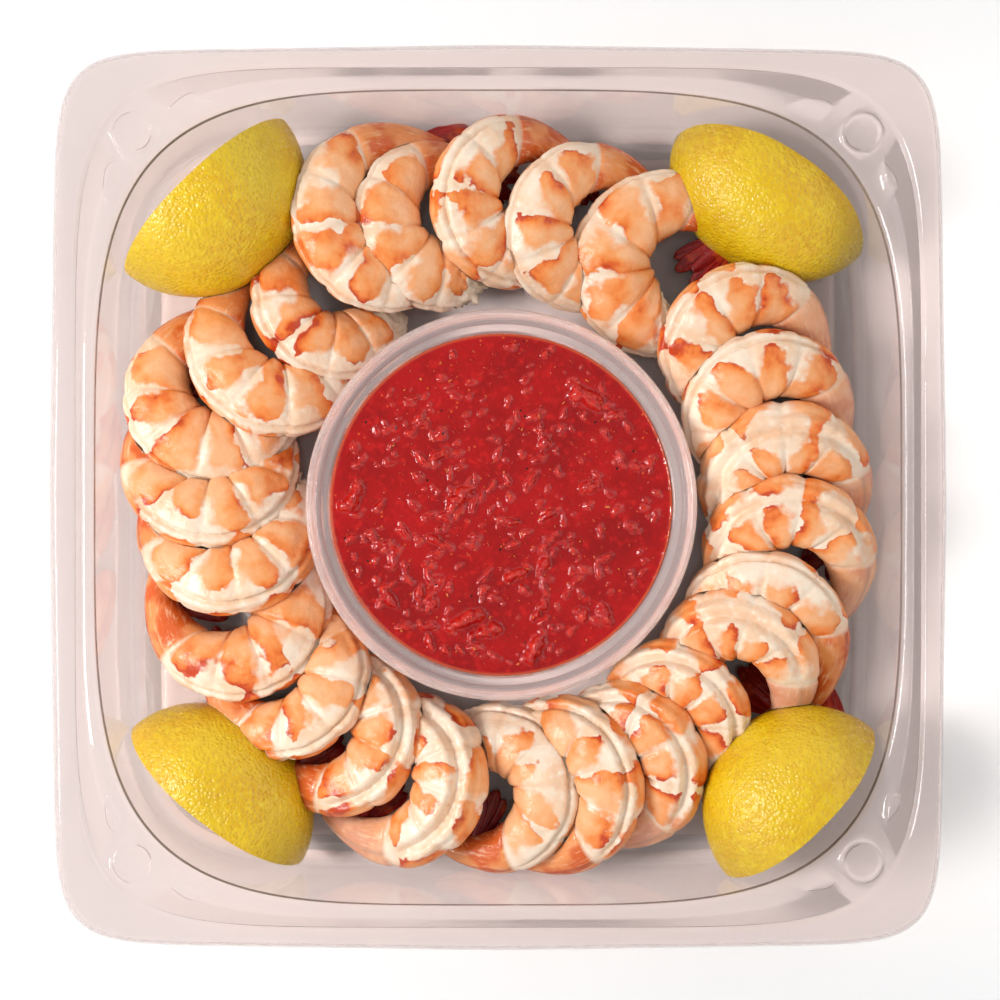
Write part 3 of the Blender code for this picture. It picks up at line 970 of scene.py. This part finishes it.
def lemon_mesh(place, seed, grow=0.0, steps=150, turns=130, marks=()):
    """A wedge of lemon, dimpled over its peel, its two cut faces meeting at the core."""
    x, y, height, heading, length, radius, top = place
    spare = 2 * grow / radius  # opens the cuts of a grown copy too
    low = -math.asin((height - PLATE_TOP - GAP) / radius) - spare
    section = lemon_section(low, math.radians(top) + spare, turns)
    rows = []
    fields = {"face": [], "reach": [], "green": [], "scar": []}
    for k in range(steps + 1):
        along = -math.cos(math.pi * k / steps)
        depth = radius * lemon_outline(along) + (grow if 0 < k < steps else 0.0)
        end_green = scar = 0.0
        for end, tint, dark in marks:
            end_green = max(end_green, tint * part_way(along * end, 0.55, 0.45) ** 1.5)
            scar = max(scar, dark * part_way(along * end, 0.985, 0.01))
        ring = []
        for share, angle, is_face in section:
            out = depth * share
            green = 0.0
            if not is_face and not grow:
                spot = Vector((along * length / 2, out * math.cos(angle), out * math.sin(angle)))
                out += 0.40 * MM * noise.noise(spot * 70 + Vector((seed, 0, 0)))
                out += 0.12 * MM * noise.noise(spot * 560) + 0.06 * MM * noise.noise(spot * 1100)
                green = max(0.0, 0.32 * noise.noise(spot * 34 + Vector((seed, 7, 0))))
            ring.append((along * (length / 2 + grow), out * math.cos(angle), out * math.sin(angle)))
            for values, value in zip(fields.values(), (is_face, share, green + end_green, scar)):
                values.append(value)
        rows.append(ring)
    mesh = skin("lemon", np.array(rows))
    mesh.transform(Matrix.Translation((x, y, height)) @ Matrix.Rotation(math.radians(heading - 90), 4, "Z"))
    for name, values in fields.items():
        field(mesh, name, values)
    return outward(mesh)


# ---------------------------------------------------------------- shrimp

# What the finish reads at each point; all but the last two stay the same over a fan.
FAN_FIELDS = {"band": -3.0, "keen": 0.0, "shell": 1.0, "torn": 0.0, "rib": 0.0, "fan": 1.0}
FIELDS = (*FAN_FIELDS, "along", "around")


def read_form(places):
    table = np.array(SHRIMP_FORM)
    return np.interp(places, table[:, 0], table[:, 1]), np.interp(places, table[:, 0], table[:, 2])


def curl_frame(places, flare):
    """Outward and onward directions and the section middles along the curl."""
    turn = np.radians(HEAD_TURN - CURL_SWEEP * places)
    out = np.stack([np.cos(turn), np.sin(turn), np.zeros_like(turn)], axis=-1)
    onward = np.stack([np.sin(turn), -np.cos(turn), np.zeros_like(turn)], axis=-1)
    depth, width = read_form(places)
    middle = out * (CURL_RADIUS * (1 + flare * places**4) - depth)[:, None]
    return out, onward, middle, depth, width


def shrimp_stand(place, rows):
    azimuth, distance, tilt, turn, _, _, size = place[:7]
    spin = Matrix.Rotation(math.radians(turn), 4, "Z")
    lean = Matrix.Rotation(math.radians(tilt), 4, "X")
    face_out = Matrix.Rotation(math.radians(azimuth), 4, "Z")
    reach = Matrix.Translation((distance * MM, 0, 0))
    stand = face_out @ reach @ lean @ spin @ Matrix.Scale(size, 4)
    turned_z = rows.reshape(-1, 3) @ np.array(stand)[2, :3]
    lift = PLATE_TOP + GAP - (turned_z.min() + stand[2][3])
    return Matrix.Translation((0, 0, lift)) @ stand


def orange_patches(number, amount, s, segment, span, back, half_round):
    """How far inside an orange patch each point is, in millimetres, and how sharp its edge is.

    Each segment has one patch. It runs from the belly up to a pointed top near the back.
    """
    rng = random.Random(number * 31)
    looks = []
    for _ in JOINTS:
        looks.append(
            (
                0.215 - 0.23 * amount + rng.uniform(-0.05, 0.05),
                rng.uniform(0.12, 0.88),
                rng.uniform(0.03, 0.25),
                rng.uniform(0.03, 0.25),
                rng.uniform(0.6, 1.5),
                rng.uniform(0.6, 1.5),
                rng.choice((-1.0, 1.0)),
                rng.uniform(0.0, 0.07),
                rng.uniform(0.93, 1.0),
            )
        )
    columns = np.array(looks)[segment].T[:, :, None]
    start, tip, fall_head, fall_tail, bow_head, bow_tail, side, head, tail = columns
    headward = fall_head * np.clip((tip - s) / tip, 0, 1) ** bow_head
    tailward = fall_tail * np.clip((s - tip) / (1 - tip), 0, 1) ** bow_tail
    from_top = (back - start - headward - tailward) * half_round * 0.8
    meeting = 4.0 * np.clip((back - 0.40) / 0.2, 0, 1)
    from_joints = np.minimum((s - head) * span, (tail - s) * span) + meeting
    band = np.minimum(np.minimum(from_top, from_joints), (0.98 - back) * half_round)
    away = np.abs(s - tip)
    keen = np.clip(1.1 - np.where((s - tip) * side > 0, away * 1.2, away * 3.6), 0.05, 1.0)
    return band, keen * (0.55 + 0.5 * amount)


def shrimp_sections(place, count, around):
    """Rings of points round the smooth body, the way out at each, and what the rings are made from."""
    roll = place[4]
    places = np.linspace(0, BODY_END, count)
    out, onward, middle, depth, width = curl_frame(places, place[5])
    share = np.linspace(-1, 1, around, endpoint=False)
    from_back = np.sign(share) * np.abs(share) ** 1.25 * math.pi
    angle = from_back + math.radians(place[7] + roll)
    cos, sin = np.cos(angle), np.sin(angle)
    smooth, away = np.empty((2, count, around, 3))
    for k in range(count):
        twist = np.array(Matrix.Rotation(-math.radians(roll), 3, Vector(onward[k])))
        across = twist @ out[k]
        up = twist @ np.array((0.0, 0.0, 1.0))
        smooth[k] = middle[k] + np.outer(cos * depth[k], across) + np.outer(sin * width[k], up)
        lean = np.outer(cos / depth[k], across) + np.outer(sin / width[k], up)
        away[k] = lean / np.linalg.norm(lean, axis=1)[:, None]
    return smooth, away, places, from_back, onward, middle, depth, width


def shrimp_room(place):
    """A plain body grown by the gap, to be cut from whatever lies under it."""
    smooth, away, *_ = shrimp_sections(place, 60, 32)
    mesh = skin("room", smooth + away * GAP)
    mesh.transform(shrimp_stand(place, smooth))
    return outward(mesh)


def ridge(height, away, wide):
    """A soft ridge or groove, its height and width in millimetres, where away is 0."""
    return height * MM * np.exp(-((away / (wide * MM)) ** 2))


def noises_over(smooth, number):
    """Noise over a body from coarse to finest, different for each shrimp."""
    seed = Vector((number * 13.7, number * 5.1, 0.0))
    spots = [Vector(spot) for spot in smooth.reshape(-1, 3).tolist()]
    levels = [[noise.noise(spot * fineness + seed) for spot in spots] for fineness in (130, 420, 800, 1400)]
    return np.array(levels).reshape(4, *smooth.shape[:2])


def shrimp_body(place, number):
    """One curled shrimp with its segments, opened back, torn head end and tail shell."""
    raised, amount = place[7:9]
    count, around = LENGTH_STEPS, ROUND_STEPS
    smooth, away, places, from_back, onward, middle, depth, width = shrimp_sections(place, count, around)
    stand = shrimp_stand(place, smooth)
    fray = FRAYED.get(number, 1.0)
    back = np.abs(from_back)[None, :] / math.pi  # 0 on the back, 1 on the belly
    p = places[:, None]
    # segments: each swells and steps down on to the next
    joints = np.array(JOINTS)
    segment = np.clip(np.searchsorted(joints, places, side="right") - 1, 0, len(joints) - 2)
    length = joints[segment + 1] - joints[segment]
    s = ((places - joints[segment]) / length)[:, None]
    inside = ((places >= joints[0]) & (places <= joints[-1]))[:, None]
    flank = 0.35 + 0.65 * np.sin(back * math.pi) ** 0.6
    rise = inside * 0.60 * MM * (np.sin(np.clip(s, 0, 1) * math.pi) ** 0.6 - 0.5) * flank
    rise += inside * 0.45 * MM * (np.clip(s, 0, 1) - 0.5) * flank
    inner_round = CURL_SWEEP * math.pi / 180 * (CURL_RADIUS - depth[:, None])
    for joint in joints[1:]:
        rise -= ridge(0.65, (p - joint) * inner_round, 0.8) * (0.25 + 0.75 * np.clip(back * 2, 0, 1))
    # the opened back: a slit between two lips, wide on a shrimp that shows it
    arc = np.abs(from_back)[None, :] * depth[:, None]
    side = np.sign(from_back)[None, :]
    gape = min(1.0, max(0.0, (raised - 30) / 14))
    opened = np.clip(p / 0.05, 0, 1) * np.clip((0.72 - p) / 0.08, 0, 1)
    slit = 0.7 + 0.9 * gape
    from_lip = arc - slit * MM
    rise -= opened * ridge(1.3 + 0.7 * gape, arc, slit)
    rise += opened * ridge(0.35 + 0.25 * gape, from_lip - 1.5 * MM, 1.2)
    rise -= opened * ridge(0.35, from_lip - 4.6 * MM, 0.6) * (side < 0)
    # the torn head end, the ragged belly and the smooth shell
    belly = np.clip((back - 0.78) / 0.14, 0, 1) * np.clip((0.74 - p) / 0.05, 0, 1)
    torn = np.clip((0.05 + 0.035 * fray - p) / 0.06, 0, 1) * np.ones_like(back)
    shell = np.clip((p - JOINTS[-1]) / 0.004, 0, 1) * np.ones_like(back)
    rise += shell * 0.25 * MM
    low, mid, fine, finest = noises_over(smooth, number)
    rise += (low * 0.60 + mid * 0.16) * MM * (1 - 0.7 * shell)
    rise += (mid * 0.9 + fine * 0.8 + finest * 0.35) * MM * torn * fray
    rise += (mid * 1.2 + fine * 1.0 + finest * 0.3) * MM * belly
    rise += opened * (fine * 0.4 + finest * 0.15) * ridge(1.0, from_lip, 2.0)
    rows = smooth + away * rise[:, :, None]
    # the head end is drawn in to a blunt, ragged tip
    tips = []
    for inward, reach in ((0.15, 2.6), (0.55, 2.0), (0.82, 1.1)):
        tips.append(middle[0] + (rows[0] - middle[0]) * inward - onward[0] * reach * MM)
    ends = []
    for inward, reach in ((0.75, 0.5), (0.35, 0.8)):
        ends.append(middle[-1] + (rows[-1] - middle[-1]) * inward + onward[-1] * reach * MM)
    mesh = skin("shrimp", np.concatenate([np.array(tips), rows, np.array(ends)]))
    span = length[:, None] * inner_round / MM
    half_round = np.pi * np.sqrt((depth**2 + width**2) / 2)[:, None] / MM
    band, keen = orange_patches(number, amount, s, segment, span, back, half_round)
    values = {
        "band": np.where(inside, band, -3.0) - torn * 6,
        "keen": keen,
        "shell": shell * (0.6 if number in PALE_SHELLS else 1.0),
        "torn": torn,
        # rib is nearness to the back line; on the shell the finish paints a dark shade line there
        "rib": 1 - back,
        "fan": np.zeros((1, 1)),
        "along": p * CURL_SWEEP * math.pi / 180 * CURL_RADIUS / MM + number * STROKES_APART,
        "around": from_back[None, :] * depth[:, None] / MM,
    }
    for name in FIELDS:
        full = np.broadcast_to(values[name], (count, around))
        full = np.concatenate([np.repeat(full[:1], len(tips), 0), full, np.repeat(full[-1:], len(ends), 0)])
        field(mesh, name, full.reshape(-1))
    mesh.transform(stand)
    return outward(mesh), stand


def fan_blade(length, wide, thick, base, ahead, across, over, bend):
    """A tail blade: a thin leaf with a raised midrib, and how far along and across each point is."""
    count, around = 24, 18
    rows = []
    grid = []
    for k in range(count):
        s = k / (count - 1)
        opening = 0.35 + 0.65 * math.sin(min(1.0, s * 1.3) * math.pi / 2)
        half = max(wide / 2 * opening * math.sqrt(max(0.0, 1 - s**6)), 0.05 * MM)
        fat = thick * (1 - 0.55 * s)
        middle = base + ahead * (length * s) + over * (bend * s * s)
        ring = []
        for j in range(around):
            angle = 2 * math.pi * j / around
            midrib = 1 + 0.9 * math.exp(-((math.cos(angle) / 0.22) ** 2))
            aside = half * math.cos(angle)
            ring.append(middle + across * aside + over * (fat / 2 * math.sin(angle) * midrib))
            grid.append((length * s / MM, aside / MM))
        rows.append([tuple(point) for point in ring])
    return np.array(rows), np.array(grid)


def shrimp_fan(place, number, stand):
    """Five blades that spread from the end of the tail shell and settle on the tray."""
    _, onward, middle, _, _ = curl_frame(np.array([FAN_ROOT]), place[5])
    base = stand @ Vector(middle[0])
    heading = stand.to_3x3() @ Vector(onward[0])
    heading = Vector((heading.x, heading.y, 0)).normalized()
    heading.rotate(Matrix.Rotation(math.radians(FAN_TURN.get(number, FAN_USUALLY)), 3, "Z"))
    reach = 22.0 * MM * place[6]
    fall = PLATE_TOP + GAP + 1.8 * MM - base.z
    ahead = (heading * reach + Vector((0, 0, fall))).normalized()
    across = Vector((0, 0, 1)).cross(heading)
    over = ahead.cross(across).normalized()
    over = over if over.z > 0 else -over
    meshes = []
    for splay, length, wide, lift in (
        (0, 0.80, 4.4, 0.9),
        (-9, 0.98, 5.6, 0.3),
        (9, 0.98, 5.6, 0.4),
        (-19, 0.92, 5.4, -0.4),
        (19, 0.92, 5.4, -0.3),
    ):
        turn = math.radians(splay)
        aim = ahead * math.cos(turn) + across * math.sin(turn)
        wing = across * math.cos(turn) - ahead * math.sin(turn)
        rows, grid = fan_blade(
            reach * length, wide * MM, 1.0 * MM, base + over * (lift * MM), aim, wing, over, 0.8 * MM
        )
        mesh = skin("blade", rows)
        count = len(mesh.vertices)
        for name, value in FAN_FIELDS.items():
            field(mesh, name, np.full(count, value))
        field(mesh, "along", grid[:, 0] * 0.5 + number * STROKES_APART + splay)
        field(mesh, "around", grid[:, 1] * 1.6)
        meshes.append(outward(mesh))
    return meshes


def joined(meshes):
    """Put closed shapes into one mesh, keeping their fields."""
    work = bmesh.new()
    for mesh in meshes:
        work.from_mesh(mesh)
    made = bpy.data.meshes.new("joined")
    work.to_mesh(made)
    work.free()
    made.shade_smooth()
    return made


def near(place, lemon):
    angle = math.radians(place[0])
    spot = Vector((place[1] * MM * math.cos(angle), place[1] * MM * math.sin(angle)))
    return (spot - Vector(lemon[:2])).length < 0.07


def cup_room():
    """The space that the cup takes up, a little grown, to be cut from the shrimp."""
    profile = (
        (0.0, CUP_TOP),
        (CUP_RADIUS + 0.1 * MM, CUP_TOP),
        (CUP_RADIUS + 0.1 * MM, CUP_TOP - 4.4 * MM),
        (0.0567, CUP_TOP - 4.7 * MM),
        (0.0457, cup_low.z + 1.2 * MM),
        (0.0, cup_low.z - 0.2 * MM),
    )
    return outward(turned("cup_room", profile, 96, CUP_CENTRE[:2]))


def make_food():
    finish = shrimp_finish()
    peel = lemon_finish()
    rooms = {k: shrimp_room(place) for k, place in enumerate(SHRIMP_RING, start=1)}
    count = len(SHRIMP_RING)
    round_cup = cup_room()
    lemon_rooms = [lemon_mesh(place, 0, 0.2 * MM, 30, 24) for place in LEMON_PLACES]
    for k, place in enumerate(SHRIMP_RING, start=1):
        body, stand = shrimp_body(place, k)
        whole = joined([body, *shrimp_fan(place, k, stand)])
        tools = [rooms[k % count + 1], rooms[(k + 1) % count + 1], round_cup]
        for n, lemon in enumerate(LEMON_PLACES):
            if OVER_LEMON.get(k) != n + 1 and near(place, lemon):
                tools.append(lemon_rooms[n])
        whole = join_shapes(whole, tools, "DIFFERENCE")
        whole.shade_smooth()
        place_piece(f"cooked_shrimp_{k:02d}", whole, finish, "cooked_shrimp", f"shrimp_{k:02d}")
    for k, (place, marks) in enumerate(zip(LEMON_PLACES, LEMON_MARKS), start=1):
        mesh = lemon_mesh(place, k * 9.1, marks=marks)
        covering = [rooms[n] for n, lemon in OVER_LEMON.items() if lemon == k]
        if covering:
            mesh = join_shapes(mesh, covering, "DIFFERENCE")
        mesh.shade_smooth()
        mesh.set_sharp_from_angle(angle=math.radians(50))
        place_piece(f"lemon_{k}", mesh, peel, "lemon_peel", f"lemon_wedge_{k}")


# ---------------------------------------------------------------- setting

CAMERA_HEIGHT = 0.9  # above the cup
VIEW_WIDTH = 0.306  # what the camera takes in at that height


def make_setting():
    scene = bpy.context.scene
    scene.view_settings.view_transform = "Standard"
    scene.cycles.max_bounces = 7
    scene.cycles.diffuse_bounces = 2
    scene.cycles.glossy_bounces = 2
    scene.cycles.transmission_bounces = 6
    world = bpy.data.worlds.new("studio")
    scene.world = world
    world.use_nodes = True
    # a white tent, dimmer overhead, so that wet and glossy things keep their colour
    tent = world.node_tree
    heading = add_node(tent, "ShaderNodeTexCoord").outputs["Generated"]
    rise = add_node(tent, "ShaderNodeSeparateXYZ", Vector=heading).outputs[2]
    glow = add_node(tent, "ShaderNodeMapRange", None, rise, 0.45, 0.95, 0.95, 0.36).outputs[0]
    for socket, value in zip(tent.nodes["Background"].inputs, ((1.0, 1.0, 1.0, 1.0), glow)):
        plug(tent, socket, value)
    mesh = new_mesh("floor", [(-2, -2, 0), (2, -2, 0), (2, 2, 0), (-2, 2, 0)], [(0, 1, 2, 3)])
    floor = put_in(mesh, "floor")
    mesh.materials.append(plain_finish("pale_floor", (0.95, 0.95, 0.95, 1.0), 0.7))
    for name, place, size, power in (
        ("key", (-0.80, -0.06, 0.72), 0.32, 7.0),
        ("fill", (0.9, 0.3, 0.9), 0.8, 1.6),
    ):
        light = bpy.data.lights.new(name, "AREA")
        light.size = size
        light.energy = power
        lamp = put_in(light, name)
        lamp.location = place
        lamp.rotation_euler = (-Vector(place)).to_track_quat("-Z", "Y").to_euler()
    camera = bpy.data.cameras.new("camera")
    camera.sensor_width = 36.0
    camera.lens = camera.sensor_width * CAMERA_HEIGHT / VIEW_WIDTH
    camera.shift_x = 0.002
    camera.shift_y = -0.0025
    scene.camera = put_in(camera, "camera")
    scene.camera.location = (0.0, 0.0, CUP_TOP + CAMERA_HEIGHT)


make_tray()
make_cup()
make_sauce()
make_food()
make_setting()
